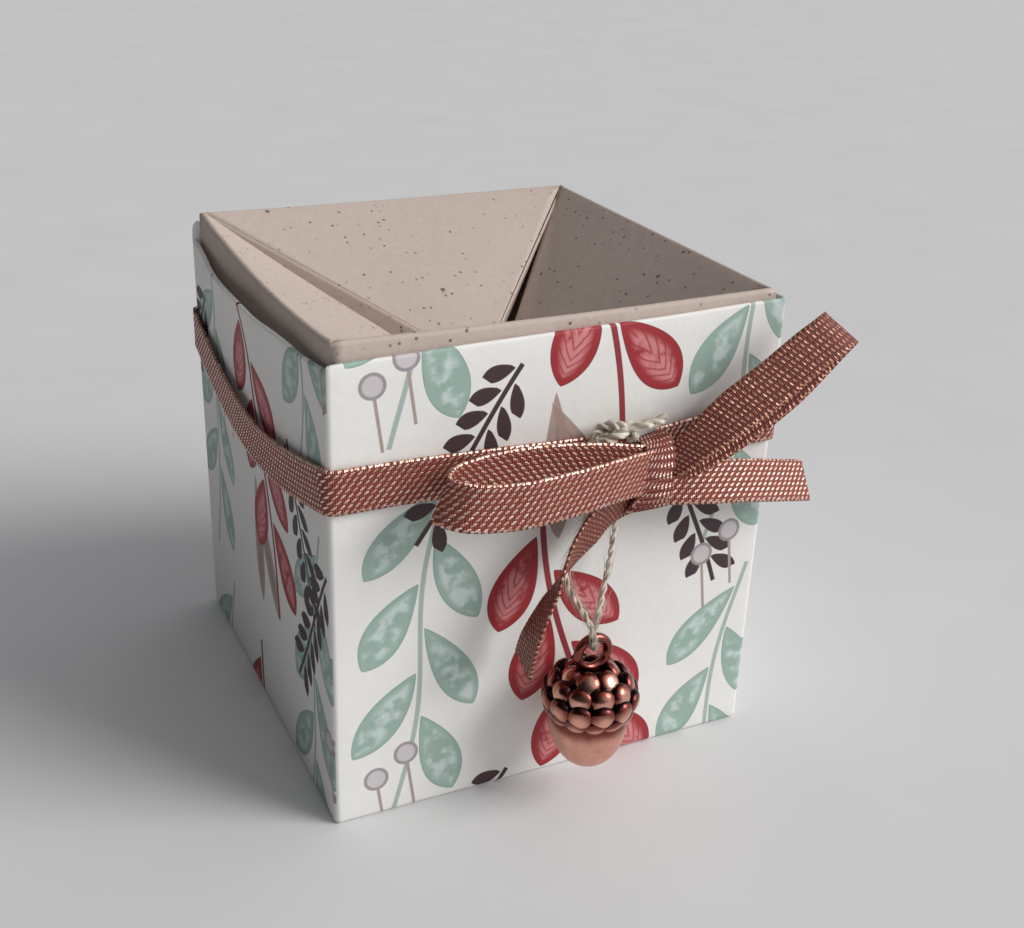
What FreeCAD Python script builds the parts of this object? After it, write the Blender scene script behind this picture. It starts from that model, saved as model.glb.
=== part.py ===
import FreeCAD, Part
import math
import os

# A small gift box folded from paper: a printed outer box in the masu style,
# a speckled inner box nested in it whose four triangular flaps lean inwards,
# a woven ribbon tied in a bow around it, and a cast acorn on a loop of twine.
# +Z is up, the bow faces -Y, and the origin is the middle of the underside.
# All lengths are millimetres and all angles are degrees.

Vector = FreeCAD.Vector
document = FreeCAD.newDocument("gift_box")
sizes = document.addObject("Spreadsheet::Sheet", "sizes")

SIZES = [
    # The two folded sheets
    ("box_width", "50"),
    ("box_height", "52.3"),
    ("paper", "0.25"),
    ("edge_round", "0.35"),
    ("hem_gap", "0.1"),
    ("hem_drop", "28.8"),
    ("nest_gap", "0.3"),
    ("inner_rise", "0.75"),
    ("rim_round", "0.75"),
    ("long_flap", "29.5"),
    ("short_flap", "26"),
    ("lean_front", "62"),
    ("lean_right", "35.5"),
    ("lean_back", "24.5"),
    ("lean_left", "33"),
    ("tuck_share", "0.82"),
    ("tuck_drop", "6.5"),
    ("tuck_tilt", "18"),
    ("ridge_round", "0.4"),
    ("gusset_leg", "46"),
    # The ribbon and its bow
    ("ribbon_width", "4.6"),
    ("ribbon_thick", "0.35"),
    ("ribbon_gap", "0.25"),
    ("band_height", "38.8"),
    ("band_dip", "4"),
    ("bend_round", "1.2"),
    ("knot_wide", "4"),
    ("knot_tall", "8.6"),
    ("knot_deep", "4.2"),
    ("knot_round", "1.9"),
    ("knot_x", "8.6"),
    ("knot_z", "36.7"),
    ("pinch_share", "0.58"),
    ("pinch_run", "8"),
    # The twine and the acorn on it
    ("twine_thick", "1"),
    ("charm_x", "1.1"),
    ("charm_lift", "4.3"),
    ("charm_stand", "5.9"),
    ("twine_clear", "0.05"),
    ("nut_radius", "4.2"),
    ("nut_round", "6.4"),
    ("nut_height", "8"),
    ("dome_radius", "4.5"),
    ("dome_rise", "3.3"),
    ("dome_lift", "9"),
    ("scale_radius", "1.2"),
    ("scale_sink", "0.25"),
    ("ring_radius", "1.75"),
    ("ring_wire", "1"),
    ("ring_sink", "0.18"),
]
for row, (alias, text) in enumerate(SIZES, start=1):
    sizes.set("A%d" % row, alias)
    sizes.set("B%d" % row, text)
    sizes.setAlias("B%d" % row, alias)

# Sizes that follow from the others
DERIVED = [
    ("hem_layers", "2 * paper + hem_gap"),
    ("inner_width", "box_width - 2 * (hem_layers + nest_gap)"),
    ("inner_top", "box_height + inner_rise"),
]
for row, (alias, formula) in enumerate(DERIVED, start=len(SIZES) + 1):
    sizes.set("A%d" % row, alias)
    sizes.set("B%d" % row, "=" + formula)
    sizes.setAlias("B%d" % row, alias)
document.recompute()


def size(alias):
    return float(sizes.get(alias))


def add(kind, name, formulas, axes=None):
    """Adds an object, turns it by its three axes and binds its sizes."""
    item = document.addObject(kind, name)
    if axes:
        item.Placement = FreeCAD.Placement(Vector(), FreeCAD.Rotation(*axes, "XYZ"))
    for path, formula in formulas.items():
        if path in ("x", "y", "z"):
            path = "Placement.Base." + path
        item.setExpression(path, formula)
    return item


def join(name, shapes):
    item = document.addObject("Part::MultiFuse", name)
    item.Shapes = shapes
    return item


def overlap(name, first, second):
    item = document.addObject("Part::Common", name)
    item.Base = first
    item.Tool = second
    return item


def cut(name, base, tool):
    item = document.addObject("Part::Cut", name)
    item.Base = base
    item.Tool = tool
    return item


def free_shape(name, shape):
    item = document.addObject("Part::Feature", name)
    item.Shape = shape
    return item


X = Vector(1, 0, 0)
Y = Vector(0, 1, 0)
Z = Vector(0, 0, 1)


# One folded side of a box, made at the front and then turned about Z
def folded_side(box, side, turn, wide, bottom, top, outer_bend, flap, lean):
    """A wall, the soft fold over its rim and the triangular flap beyond it."""
    label = box + "_" + side
    half = "(" + wide + ") / 2"
    fold_z = "(" + top + ") - (" + outer_bend + ")"
    fold_y = "-" + half + " + (" + outer_bend + ")"
    wall = add("Part::Box", label + "_wall", {
        "Length": wide,
        "Width": "sizes.paper",
        "Height": fold_z + " - (" + bottom + ")",
        "x": "-" + half,
        "y": "-" + half,
        "z": bottom,
    })
    # The fold is a stretch of tube along X, from the wall round to the flap
    turned = (Vector(0, -1, 0), Z, Vector(-1, 0, 0))
    outside = add("Part::Cylinder", label + "_bend_out", {
        "Radius": outer_bend,
        "Height": wide,
        "Angle": "90 + (" + lean + ")",
        "x": half,
        "y": fold_y,
        "z": fold_z,
    }, turned)
    inside = add("Part::Cylinder", label + "_bend_in", {
        "Radius": "(" + outer_bend + ") - sizes.paper",
        "Height": wide,
        "x": half,
        "y": fold_y,
        "z": fold_z,
    }, turned)
    bend = cut(label + "_bend", outside, inside)
    # Mitres at 45 degrees let the four sides meet at the corners
    mitre = add("Part::Wedge", label + "_mitre", {
        "Xmin": "-" + half,
        "Xmax": half,
        "X2min": "0",
        "X2max": "0",
        "Ymin": "-" + half,
        "Ymax": "0",
        "Zmin": "0",
        "Zmax": top,
        "Z2min": "0",
        "Z2max": top,
    })
    standing = overlap(label + "_standing", join(label + "_upright", [wall, bend]), mitre)
    # The flap is a thin triangle that leaves the fold along its tangent
    flap_half = half + " - (" + outer_bend + ")"
    leaf = add("Part::Wedge", label + "_leaf", {
        "Xmin": "-(" + flap_half + ")",
        "Xmax": flap_half,
        "X2min": "0",
        "X2max": "0",
        "Ymin": "0",
        "Ymax": flap,
        "Zmin": "(" + outer_bend + ") - sizes.paper",
        "Zmax": outer_bend,
        "Z2min": "(" + outer_bend + ") - sizes.paper",
        "Z2max": outer_bend,
        "y": fold_y,
        "z": fold_z,
    })
    leaf.Placement.Rotation = FreeCAD.Rotation(X, -45)
    leaf.setExpression("Placement.Rotation.Angle", "-(" + lean + ")")
    whole = join(label, [standing, leaf])
    whole.Placement.Rotation = FreeCAD.Rotation(Z, turn)
    return whole


def floor_panel(box, wide, bottom):
    return add("Part::Box", box + "_floor", {
        "Length": wide,
        "Width": wide,
        "Height": "sizes.paper",
        "x": "-(" + wide + ") / 2",
        "y": "-(" + wide + ") / 2",
        "z": bottom,
    })


def rounded_block(box, wide, bottom, top):
    """A block whose upright and bottom edges have the paper's fold radius."""
    body = document.addObject("PartDesign::Body", box + "_block")
    block = body.newObject("PartDesign::AdditiveBox", box + "_cube")
    formulas = {
        "Length": wide,
        "Width": wide,
        "Height": "(" + top + ") - (" + bottom + ")",
        "AttachmentOffset.Base.x": "-(" + wide + ") / 2",
        "AttachmentOffset.Base.y": "-(" + wide + ") / 2",
        "AttachmentOffset.Base.z": bottom,
    }
    for role in body.Origin.OriginFeatures:
        if role.Role == "XY_Plane":
            block.AttachmentSupport = [(role, "")]
            block.MapMode = "FlatFace"
    for path, formula in formulas.items():
        block.setExpression(path, formula)
    document.recompute()
    upper = block.Shape.BoundBox.ZMax
    names = []
    for number, edge in enumerate(block.Shape.Edges, start=1):
        if edge.CenterOfMass.z < upper - size("paper"):
            names.append("Edge%d" % number)
    fillet = body.newObject("PartDesign::Fillet", box + "_folds")
    fillet.Base = (block, names)
    fillet.setExpression("Radius", "sizes.edge_round")
    body.Tip = fillet
    return body


def folded_box(box, label, wide, bottom, top, outer_bend, flaps, extras):
    sides = [floor_panel(box, wide, bottom)]
    for number, (side, flap, lean) in enumerate(flaps):
        sides.append(folded_side(box, side, 90 * number, wide, bottom, top,
                                 outer_bend, flap, lean))
    whole = join(box + "_sheet", sides + extras)
    block = rounded_block(box, wide, bottom, top)
    finished = overlap(box, whole, block)
    finished.Label = label
    return finished


# Outer box: its flaps are folded right down inside the walls as a hem
hem = [(side, "sizes.hem_drop", "90") for side in ("front", "right", "back", "left")]
outer_box = folded_box("outer", "outer_box", "sizes.box_width", "0", "sizes.box_height",
                       "sizes.hem_layers / 2", hem, [])

# Inner box: the soft rim folds stand a little over the outer rim
inner_flaps = [
    ("front", "sizes.long_flap", "sizes.lean_front"),
    ("right", "sizes.short_flap", "sizes.lean_right"),
    ("back", "sizes.long_flap", "sizes.lean_back"),
    ("left", "sizes.short_flap", "sizes.lean_left"),
]


# Gussets: the doubled paper of each corner lies flat inside a side wall
def gusset(name, side, end):
    """side is 1 at the right wall, end is -1 at its front corner."""
    inner_half = "sizes.inner_width / 2"
    thick = "2 * sizes.paper"
    upright = (Z, Vector(0, -end, 0), Z.cross(Vector(0, -end, 0)))
    reach_in = upright[2].x * side < 0
    edge = "(" + inner_half + " - sizes.paper)"
    place_x = edge if reach_in else "(" + edge + " - " + thick + ")"
    if side < 0:
        place_x = "-" + place_x
    return add("Part::Wedge", name, {
        "Xmin": "0",
        "Xmax": "sizes.gusset_leg",
        "X2min": "sizes.gusset_leg / 2",
        "X2max": "sizes.gusset_leg / 2",
        "Ymin": "0",
        "Ymax": "sizes.gusset_leg / 2",
        "Zmin": "0",
        "Zmax": thick,
        "Z2min": "0",
        "Z2max": thick,
        "x": place_x,
        "y": "%d * (%s - sizes.paper)" % (end, inner_half),
        "z": "2 * sizes.paper",
    }, upright)


gussets = []
for side, side_name in ((1, "right"), (-1, "left")):
    for end, end_name in ((-1, "front"), (1, "back")):
        gussets.append(gusset("gusset_%s_%s" % (side_name, end_name), side, end))


# Tucks: the long flaps end in soft ridges, and the sheet turns down under them
def tuck(name, turn, lean, hand):
    """A triangle of paper that hangs from a long flap's side edge."""
    bend = size("rim_round")
    paper = size("paper")
    half = size("inner_width") / 2 - bend
    tilt = math.radians(size("tuck_tilt"))
    fall = math.radians(lean)
    flap = size("long_flap")
    start = Vector(0, -half, size("inner_top") - bend)
    along = Vector(0, math.cos(fall), -math.sin(fall))
    normal = Vector(0, math.sin(fall), math.cos(fall))
    level = bend - paper / 2
    corner = start + normal * level + X * hand * half
    tip = start + normal * level + along * flap
    share = size("tuck_share")
    far = corner + (tip - corner) * share
    low = far + Vector(-hand * math.sin(tilt), 0, -math.cos(tilt)) * size("tuck_drop")
    face = Part.Face(Part.makePolygon([corner, far, low, corner]))
    through = (far - corner).cross(low - corner).normalize() * paper
    plate = face.extrude(through)
    plate.translate(through * -0.5)
    run = far - corner
    ridge_radius = size("ridge_round")
    sink = normal * (paper / 2 - ridge_radius)
    ridge = Part.makeCylinder(ridge_radius, run.Length, corner + sink, run)
    end = Part.makeSphere(ridge_radius, far + sink)
    shape = plate.fuse([ridge, end])
    item = free_shape(name, shape)
    item.Placement.Rotation = FreeCAD.Rotation(Z, turn)
    return item


tucks = []
for turn, side_name in ((0, "front"), (180, "back")):
    for hand, hand_name in ((-1, "low"), (1, "high")):
        tucks.append(tuck("tuck_%s_%s" % (side_name, hand_name), turn,
                          size("lean_" + side_name), hand))

inner_box = folded_box("inner", "inner_box", "sizes.inner_width", "sizes.paper",
                       "sizes.inner_top", "sizes.rim_round", inner_flaps, gussets + tucks)


def strap_stations(points, acrosses, wides, thick):
    """The four corners of a strap's thin section at each point of its run."""
    stations = []
    for number, middle in enumerate(points):
        before = points[max(number - 1, 0)]
        after = points[min(number + 1, len(points) - 1)]
        across = Vector(acrosses[number]).normalize()
        out = across.cross(after - before).normalize()
        corners = []
        for a, b in ((-1, -1), (1, -1), (1, 1), (-1, 1)):
            corners.append(middle + across * (a * wides[number] / 2) + out * (b * thick / 2))
        stations.append(corners)
    return stations


def creased_strap(points, acrosses, wides, thick):
    """A strap in short flat stretches."""
    stations = strap_stations(points, acrosses, wides, thick)
    return Part.makeLoft([Part.makePolygon(c + [c[0]]) for c in stations], True, True)


def ruled_between(first, second):
    """A face ruled between two curves that share their knots."""
    poles = [list(pair) for pair in zip(first.getPoles(), second.getPoles())]
    surface = Part.BSplineSurface()
    surface.buildFromPolesMultsKnots(poles, first.getMultiplicities(), [2, 2],
                                     first.getKnots(), [0, 1], False, False,
                                     first.Degree, 1)
    return surface.toShape()


def curved_strap(points, acrosses, wides, thick):
    """A strap with smooth faces, ruled between the four curves of its edges."""
    stations = strap_stations(points, acrosses, wides, thick)
    knots = [float(number) for number in range(len(stations))]
    rails = []
    for corner in range(4):
        curve = Part.BSplineCurve()
        curve.interpolate(Points=[station[corner] for station in stations], Parameters=knots)
        rails.append(curve)
    faces = [ruled_between(rails[i], rails[(i + 1) % 4]) for i in range(4)]
    for corners in (stations[0], stations[-1]):
        faces.append(Part.Face(Part.makePolygon(corners + [corners[0]])))
    shell = Part.makeShell(faces)
    shell.sewShape()
    solid = Part.makeSolid(shell)
    if solid.Volume < 0:
        solid.reverse()
    return solid


def smooth(points, steps):
    """Points along one smooth curve through the given ones."""
    curve = Part.BSplineCurve()
    curve.interpolate(points)
    return curve.discretize(steps)


CORNER_FACETS = 3
SAG_STEPS = 6


# Ribbon: the band round the box, a little slack at the left side
def band_points():
    """Runs anticlockwise from the bow, once round the box, to the bow."""
    half = size("box_width") / 2 + size("ribbon_gap") + size("ribbon_thick") / 2
    bend = size("bend_round")
    level = size("band_height")
    crossing = Vector(size("knot_x"), -half, size("knot_z") + size("ribbon_width") / 4)
    # Both ends stop inside the knot, a little apart
    tuck_in = size("knot_wide") / 8
    points = [crossing + X * tuck_in]
    for turn in (0, 1, 2, 3):
        angle = math.radians(90 * turn)
        heading = Vector(math.cos(angle), math.sin(angle), 0)
        outward = Vector(math.sin(angle), -math.cos(angle), 0)
        # The corner at the end of this side, in short facets
        centre = (heading + outward) * (half - bend)
        for step in range(CORNER_FACETS + 1):
            swing = math.radians(90 * step / CORNER_FACETS)
            offset = outward * math.cos(swing) + heading * math.sin(swing)
            points.append(centre + offset * bend + Z * level)
        # The left side hangs loose between its corners
        if turn == 2:
            for step in range(1, SAG_STEPS):
                share = step / SAG_STEPS
                sag = math.sin(math.pi * share)
                side_x = -half - sag * size("ribbon_thick")
                side_y = (half - bend) * (1 - 2 * share)
                points.append(Vector(side_x, side_y, level - sag * size("band_dip")))
    points.append(crossing - X * tuck_in)
    return points


ribbon_wide = size("ribbon_width")
ribbon_thick = size("ribbon_thick")
band = band_points()
band_shape = creased_strap(band, [Z] * len(band), [ribbon_wide] * len(band), ribbon_thick)

# The knot is the ribbon wrapped upright over the crossing
knot_x = size("knot_x")
knot_z = size("knot_z")
knot_wide = size("knot_wide")
knot_tall = size("knot_tall")
knot_deep = size("knot_deep")
wall_front = -size("box_width") / 2 - size("ribbon_gap")
knot_back = wall_front + size("ribbon_gap") / 2
knot = Part.makeBox(knot_wide, knot_deep, knot_tall,
                    Vector(knot_x - knot_wide / 2, knot_back - knot_deep,
                           knot_z - knot_tall / 2))
long_edges = [edge for edge in knot.Edges if abs(edge.tangentAt(0).x) > 0.9]
knot = knot.makeFillet(size("knot_round"), long_edges)


def from_knot(*places):
    """Places beside the knot: right of it, out from the wall, and up."""
    return [Vector(knot_x + x, wall_front - y, knot_z + z) for x, y, z in places]


def blended(places, directions, steps):
    """Directions in even steps along the places, blended between them."""
    lengths = [0.0]
    for before, after in zip(places, places[1:]):
        lengths.append(lengths[-1] + (after - before).Length)
    result = []
    for step in range(steps):
        reach = lengths[-1] * step / (steps - 1)
        number = 0
        while number < len(places) - 2 and lengths[number + 1] < reach:
            number += 1
        share = (reach - lengths[number]) / (lengths[number + 1] - lengths[number])
        result.append(directions[number] * (1 - share) + directions[number + 1] * share)
    return result


def bow_strap(strap, places, acrosses, steps, pinched=False):
    """A stretch of the bow. A pinched one gathers where both its ends enter the knot."""
    places = from_knot(*places)
    directions = [Vector(*across) for across in acrosses]
    points = smooth(places, steps)
    wides = [ribbon_wide] * steps
    if pinched:
        gathered = size("pinch_share")
        for number, point in enumerate(points):
            reach = min((point - points[0]).Length, (point - points[-1]).Length)
            share = min(1.0, gathered + (1 - gathered) * reach / size("pinch_run"))
            wides[number] = ribbon_wide * share
    return strap(points, blended(places, directions, steps), wides, ribbon_thick)


left_loop = bow_strap(
    curved_strap,
    [(-1, 2.8, 0.6), (-7.6, 2.7, 1.9), (-13.6, 2.2, 2.3), (-19.6, 2.2, 2.1),
     (-23.6, 3, 1.8), (-25.4, 4.7, 1.6), (-24.2, 6.5, 1.4), (-18.6, 7.5, 1.2),
     (-11.6, 7, 1.3), (-5, 5.4, 1.1), (-1, 3.6, 0.4)],
    [(0, 0, 1), (-0.1, 0, 1), (0, 0, 1), (0.15, 0, 1), (0.35, 0, 1), (0.5, 0.1, 1),
     (0.45, 0.15, 1), (0.2, 0.15, 1), (0.05, 0.1, 1), (0, 0, 1), (0, 0, 1)], 34)
right_loop = bow_strap(
    curved_strap,
    [(1, 3.6, 0.4), (3.5, 4.8, 3.3), (6.8, 5.8, 6.5), (10.8, 6.4, 9.5), (14.7, 6.6, 12.3),
     (17.7, 6.3, 13.8), (19, 5.4, 13.8), (18.1, 4.6, 12), (13.7, 4.2, 7.6), (9.4, 3.8, 4.4),
     (5.7, 3.2, 1.5), (2.2, 2.6, -0.7)],
    [(-0.43, 0.64, 0.64), (-0.42, 0.64, 0.64), (-0.41, 0.64, 0.65), (-0.41, 0.64, 0.65),
     (-0.41, 0.64, 0.65), (-0.44, 0.65, 0.62), (-0.5, 0.67, 0.55), (-0.48, 0.66, 0.58),
     (-0.46, 0.66, 0.6), (-0.41, 0.64, 0.65), (-0.37, 0.63, 0.68), (-0.33, 0.62, 0.71)],
    34, True)
right_tail = bow_strap(
    curved_strap,
    [(1.3, 3, -1.5), (4.8, 4, -1.6), (9.6, 4.2, -2.2), (14.6, 3.6, -3.3), (19.5, 2.6, -4.6)],
    [(0.15, 0.41, 0.9), (0.12, 0.45, 0.88), (0.08, 0.5, 0.86), (0.03, 0.56, 0.83),
     (0, 0.6, 0.8)], 12)
hanging_tail = bow_strap(
    creased_strap,
    [(-2.4, 3, -2.1), (-4.4, 3.3, -2.8), (-6.2, 3.6, -3.7), (-7.7, 3.9, -5), (-9.3, 4.3, -6.5),
     (-11.1, 4.9, -8.8), (-11.9, 5.1, -10.1), (-12.9, 5.2, -11.6), (-13.6, 5.2, -13.1),
     (-14.2, 5, -14.8), (-14.6, 4.7, -16.6), (-14.8, 4.3, -18.7)],
    [(0.27, 0.2, -0.94), (0.32, 0.35, -0.88), (0.47, 0.39, -0.79), (0.56, 0.39, -0.73),
     (0.54, 0.54, -0.64), (0.43, 0.76, -0.49), (0.35, 0.88, -0.32), (0.31, 0.93, -0.2),
     (0.29, 0.96, -0.06), (0.25, 0.97, 0.07), (0.17, 0.97, 0.15), (0.12, 0.98, 0.17)], 16)
ribbon = free_shape("ribbon", band_shape.fuse([knot, left_loop, right_loop,
                                               right_tail, hanging_tail]))
ribbon.Label = "ribbon"


# Acorn: nut, cap, scales and ring cast as one piece
charm_x = size("charm_x")
charm_y = -size("box_width") / 2 - size("charm_stand")
charm_z = size("charm_lift")
nut_radius = size("nut_radius")
nut_round = size("nut_round")
nut_height = size("nut_height")
dome_radius = size("dome_radius")
dome_rise = size("dome_rise")
dome_lift = size("dome_lift")
scale_radius = size("scale_radius")
ring_radius = size("ring_radius")
ring_wire = size("ring_wire")


def turned(outline):
    """A solid of revolution about the acorn's axis from an (r, z) outline."""
    curve = Part.BSplineCurve()
    curve.interpolate([Vector(radius, 0, z) for radius, z in outline])
    top = Vector(0, 0, outline[-1][1])
    bottom = Vector(0, 0, outline[0][1])
    edges = [curve.toShape(), Part.LineSegment(top, bottom).toShape()]
    face = Part.Face(Part.Wire(edges))
    return face.revolve(Vector(), Z, 360)


def oval(across, up, middle):
    """The outline of half an oval, from its lowest point to its highest."""
    outline = []
    for rise in (-90, -60, -30, 0, 30, 60, 90):
        angle = math.radians(rise)
        outline.append((across * math.cos(angle), middle + up * math.sin(angle)))
    outline[0] = (0, outline[0][1])
    outline[-1] = (0, outline[-1][1])
    return outline


# The nut is a rounded cup under the cap's dome, joined by a short straight neck
nut = turned(oval(nut_radius, nut_round, nut_round))
neck = Part.makeCylinder(nut_radius, nut_height - nut_round, Vector(0, 0, nut_round))
crown = Part.makeBox(2 * nut_radius, 2 * nut_radius, nut_round,
                     Vector(-nut_radius, -nut_radius, nut_height))
nut = nut.fuse(neck).cut(crown)
dome = turned(oval(dome_radius, dome_rise, dome_lift))

# Four rows of round scales overlap over the dome
scale_counts = (13, 12, 10, 6)
row_lifts = (-22, 4, 30, 56)
scales = []
for row, count in enumerate(scale_counts):
    lift = math.radians(row_lifts[row])
    row_radius = (dome_radius - size("scale_sink")) * math.cos(lift)
    row_z = dome_lift + (dome_rise - size("scale_sink")) * math.sin(lift)
    stagger = 0.5 * (row % 2) + 0.12 * row
    for number in range(round(count)):
        angle = 2 * math.pi * (number + stagger) / count
        centre = Vector(row_radius * math.cos(angle), row_radius * math.sin(angle), row_z)
        scales.append(Part.makeSphere(scale_radius, centre))

ring_z = dome_lift + dome_rise + ring_radius + size("ring_sink")
ring = Part.makeTorus(ring_radius, ring_wire / 2, Vector(0, 0, ring_z), Y)
acorn = nut.fuse([dome, ring] + scales)
acorn_charm = free_shape("acorn_charm", acorn)
acorn_charm.Label = "acorn_charm"
acorn_charm.Placement.Base = Vector(charm_x, charm_y, charm_z)


# Twine: straight runs joined by tangent arcs, swept with a round section
def cord(points, thick, tag):
    """A tube along the points, each arc as large as its two runs allow."""
    share = 0.45
    edges = []
    radii = []
    last = points[0]
    for before, corner, after in zip(points, points[1:], points[2:]):
        incoming = (corner - before)
        outgoing = (after - corner)
        turn = incoming.getAngle(outgoing)
        trim = share * min(incoming.Length, outgoing.Length)
        radii.append(trim / math.tan(turn / 2))
        incoming = incoming.normalize()
        outgoing = outgoing.normalize()
        first = corner - incoming * trim
        third = corner + outgoing * trim
        # The arc's middle lies on the bisector of the corner
        inward = (outgoing - incoming).normalize()
        middle = (first + third) * 0.5 - inward * (radii[-1] * (1 - math.cos(turn / 2)))
        edges.append(Part.LineSegment(last, first).toShape())
        edges.append(Part.Arc(first, middle, third).toShape())
        last = third
    edges.append(Part.LineSegment(last, points[-1]).toShape())
    path = Part.Wire(edges)
    section = Part.Face(Part.Wire(
        [Part.Circle(points[0], points[1] - points[0], thick / 2).toShape()]))
    tube = path.makePipe(section)
    expected = math.pi * thick ** 2 / 4 * path.Length
    print(tag, "length", round(path.Length, 2), "volume ratio", round(tube.Volume / expected, 4),
          "radii", [round(r, 2) for r in radii])
    return tube


twine_thick = size("twine_thick")
ring_top = Vector(charm_x, charm_y, charm_z + ring_z + ring_radius)
wrap = (ring_wire + twine_thick) / 2 + size("twine_clear")


ring_step = 45


def round_ring(degrees, side):
    """A point of the twine's turn under the top of the ring."""
    angle = math.radians(degrees)
    reach = wrap / math.cos(math.radians(ring_step / 2))
    return ring_top + Vector(side, reach * math.cos(angle), reach * math.sin(angle))


twine_route = from_knot((1, 1.8, 5.1), (-2.6, 1.6, 5.1), (-6, 1.3, 4.4), (-7.4, 1.25, 1.1),
                        (-6.6, 1.4, -1.9), (-6.7, 1.5, -5.2), (-8.6, 1.8, -8.3),
                        (-9.8, 2.6, -11))
twine_route += [round_ring(157.5, -0.9) + Vector(-0.2, -0.1, 2.2)]
twine_route += [round_ring(202.5, -0.45), round_ring(247.5, -0.15),
                round_ring(292.5, 0.15), round_ring(337.5, 0.45)]
twine_route += [round_ring(22.5, 0.9) + Vector(0.2, 0.1, 2.2)]
twine_route += from_knot((-4.8, 2.8, -11.2), (-3.8, 1.9, -8), (-3.3, 1.5, -4.6), (-3.5, 1.35, -1),
                         (-4.3, 1.3, 2.6))
twine = free_shape("twine", cord(twine_route, twine_thick, "twine"))
twine.Label = "twine"

document.recompute()

# Every object is sound before anything is written
nodes = [outer_box, inner_box, ribbon, twine, acorn_charm]
for item in document.Objects:
    if "Invalid" in item.State or "Error" in item.State:
        raise RuntimeError("failed object " + item.Name)
for node in nodes:
    if node.Shape.isNull() or not node.Shape.isValid():
        raise RuntimeError("bad shape " + node.Label)

os.makedirs("parts", exist_ok=True)
for node in nodes:
    node.Shape.exportStep("parts/" + node.Label + ".step")
    box = node.Shape.BoundBox
    print(node.Label, "solids", len(node.Shape.Solids), "faces", len(node.Shape.Faces),
          "volume", round(node.Shape.Volume, 2),
          "low", [round(v, 2) for v in (box.XMin, box.YMin, box.ZMin)],
          "high", [round(v, 2) for v in (box.XMax, box.YMax, box.ZMax)])
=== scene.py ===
# %% [markdown]
# # A small folded gift box
# The real object is folded from two sheets of paper. The outer box is printed
# with leaves, and a speckled inner box stands in it with four flaps that lean
# inwards. A woven ribbon is tied round them in a bow, and a cast acorn hangs
# from a loop of twine. This first cell loads the measured model, whose places
# and sizes every piece below keeps.

# %% Load the measured model
import math

import bmesh
import bpy
from mathutils import Matrix, Vector, noise


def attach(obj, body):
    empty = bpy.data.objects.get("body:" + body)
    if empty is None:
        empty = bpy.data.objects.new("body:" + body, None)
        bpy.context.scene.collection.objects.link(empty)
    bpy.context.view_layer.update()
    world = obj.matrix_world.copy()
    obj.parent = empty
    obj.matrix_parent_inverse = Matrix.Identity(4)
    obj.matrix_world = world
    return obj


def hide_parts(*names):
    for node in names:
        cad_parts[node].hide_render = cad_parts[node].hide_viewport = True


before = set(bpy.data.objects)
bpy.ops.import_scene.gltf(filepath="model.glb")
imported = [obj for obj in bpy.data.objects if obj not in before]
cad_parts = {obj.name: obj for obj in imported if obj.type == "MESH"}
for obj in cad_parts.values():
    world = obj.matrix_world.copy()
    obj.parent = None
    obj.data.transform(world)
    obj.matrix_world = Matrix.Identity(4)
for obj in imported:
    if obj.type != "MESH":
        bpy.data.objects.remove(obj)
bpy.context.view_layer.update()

MM = 0.001
print("nodes", sorted(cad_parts))

# %% [markdown]
# ## Camera
# The photograph looks down a little and from the left of the bow, so two walls
# and the inside of the flaps show. A camera is placed by three directions: what
# is right, what is up and what is ahead in its picture. They come from the
# corners of the box in the photograph, so the picture lines up.

# %% Camera
scene = bpy.context.scene
camera_right = Vector((0.90181, -0.43073, 0.03481))
camera_up = Vector((0.15317, 0.39392, 0.90629))
camera_back = camera_right.cross(camera_up)
camera_place = Vector((-59.16, -131.63, 93.88)) * MM
camera_data = bpy.data.cameras.new("camera")
camera_data.sensor_fit = "HORIZONTAL"
camera_data.sensor_width = 36
camera_data.lens = 47.07
camera_data.clip_start = 0.005
camera = bpy.data.objects.new("camera", camera_data)
scene.collection.objects.link(camera)
turned = Matrix((camera_right, camera_up, camera_back)).transposed().to_4x4()
camera.matrix_world = Matrix.Translation(camera_place) @ turned
scene.camera = camera
print("camera lens", camera_data.lens)

# %% [markdown]
# ## Shader maths in plain Python
# A material is a net of nodes. One small class wraps a socket and teaches it
# Python's operators, so sums read as maths, and one method makes every node.


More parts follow.
